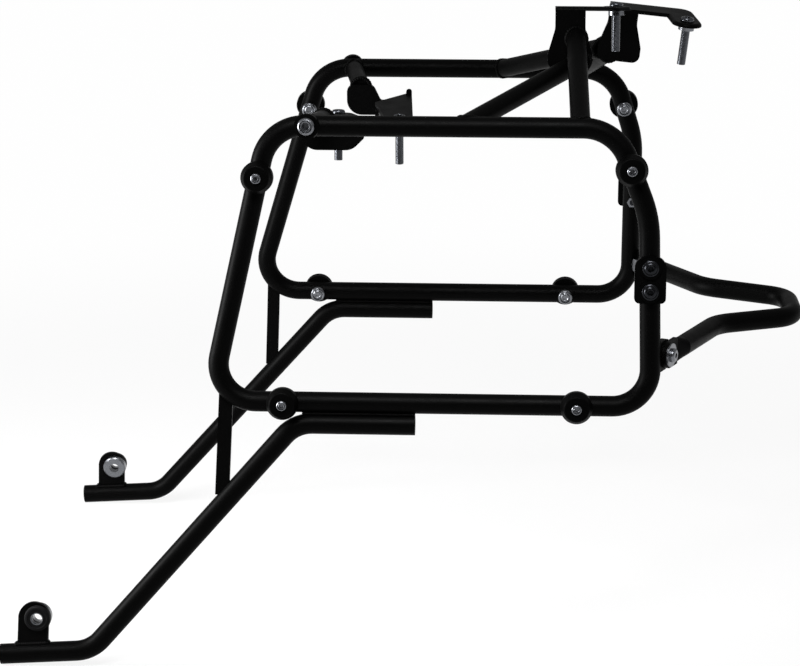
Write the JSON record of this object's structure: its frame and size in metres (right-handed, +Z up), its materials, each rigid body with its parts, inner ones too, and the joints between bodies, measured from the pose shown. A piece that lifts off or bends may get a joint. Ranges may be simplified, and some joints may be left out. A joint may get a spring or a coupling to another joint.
{
  "type": "pannier frame",
  "caption": "Pair of bent-tube side-case frames for a motorbike, joined at the rear by a bent brace, with feet, folded brackets and hanging bolts.",
  "frame": {"origin": "on the centre plane between the two side frames, at mid length, level with the underside of the feet", "axes": "+X to the rear of the motorbike, +Y to its right, +Z up"},
  "size_m": [0.7976, 0.5166, 0.6274],
  "materials": {
    "black_coat": "satin black powder coat on steel",
    "zinc_steel": "bright zinc plate",
    "black_plastic": "turned black nylon",
    "black_rubber": "moulded black rubber"
  },
  "bodies": {
    "root": {"left_hoop": "black_coat", "left_lower_arm": "black_coat", "left_arm_weld": "black_coat", "left_gusset": "black_coat", "left_foot_tab": "black_coat", "left_upright_strut": "black_coat", "left_diagonal_strut": "black_coat", "left_rear_bracket": "black_coat", "left_front_stub": "black_coat", "left_front_bracket": "black_coat", "left_latch_plate": "black_coat", "left_brace_lug": "black_coat", "left_saddle_washer": "black_coat", "left_foot_spacer": "zinc_steel", "left_puck_screws": "zinc_steel", "left_puck_nuts": "zinc_steel", "left_latch_screws": "zinc_steel", "left_latch_nuts": "zinc_steel", "left_rear_bolt": "zinc_steel", "left_rear_collar": "zinc_steel", "left_stub_bolt": "zinc_steel", "left_front_bolt": "zinc_steel", "left_brace_washer": "zinc_steel", "left_brace_bolt": "zinc_steel", "left_brace_nut": "zinc_steel", "left_case_pucks": "black_plastic", "left_latch_washers": "black_plastic", "left_foot_bush": "black_rubber", "right_hoop": "black_coat", "right_lower_arm": "black_coat", "right_arm_weld": "black_coat", "right_gusset": "black_coat", "right_foot_tab": "black_coat", "right_upright_strut": "black_coat", "right_diagonal_strut": "black_coat", "right_rear_bracket": "black_coat", "right_front_stub": "black_coat", "right_front_bracket": "black_coat", "right_latch_plate": "black_coat", "right_brace_lug": "black_coat", "right_saddle_washer": "black_coat", "right_foot_spacer": "zinc_steel", "right_puck_screws": "zinc_steel", "right_puck_nuts": "zinc_steel", "right_latch_screws": "zinc_steel", "right_latch_nuts": "zinc_steel", "right_rear_bolt": "zinc_steel", "right_rear_collar": "zinc_steel", "right_stub_bolt": "zinc_steel", "right_front_bolt": "zinc_steel", "right_brace_washer": "zinc_steel", "right_brace_bolt": "zinc_steel", "right_brace_nut": "zinc_steel", "right_case_pucks": "black_plastic", "right_latch_washers": "black_plastic", "right_foot_bush": "black_rubber", "rear_brace": "black_coat"}
  },
  "joints": []
}
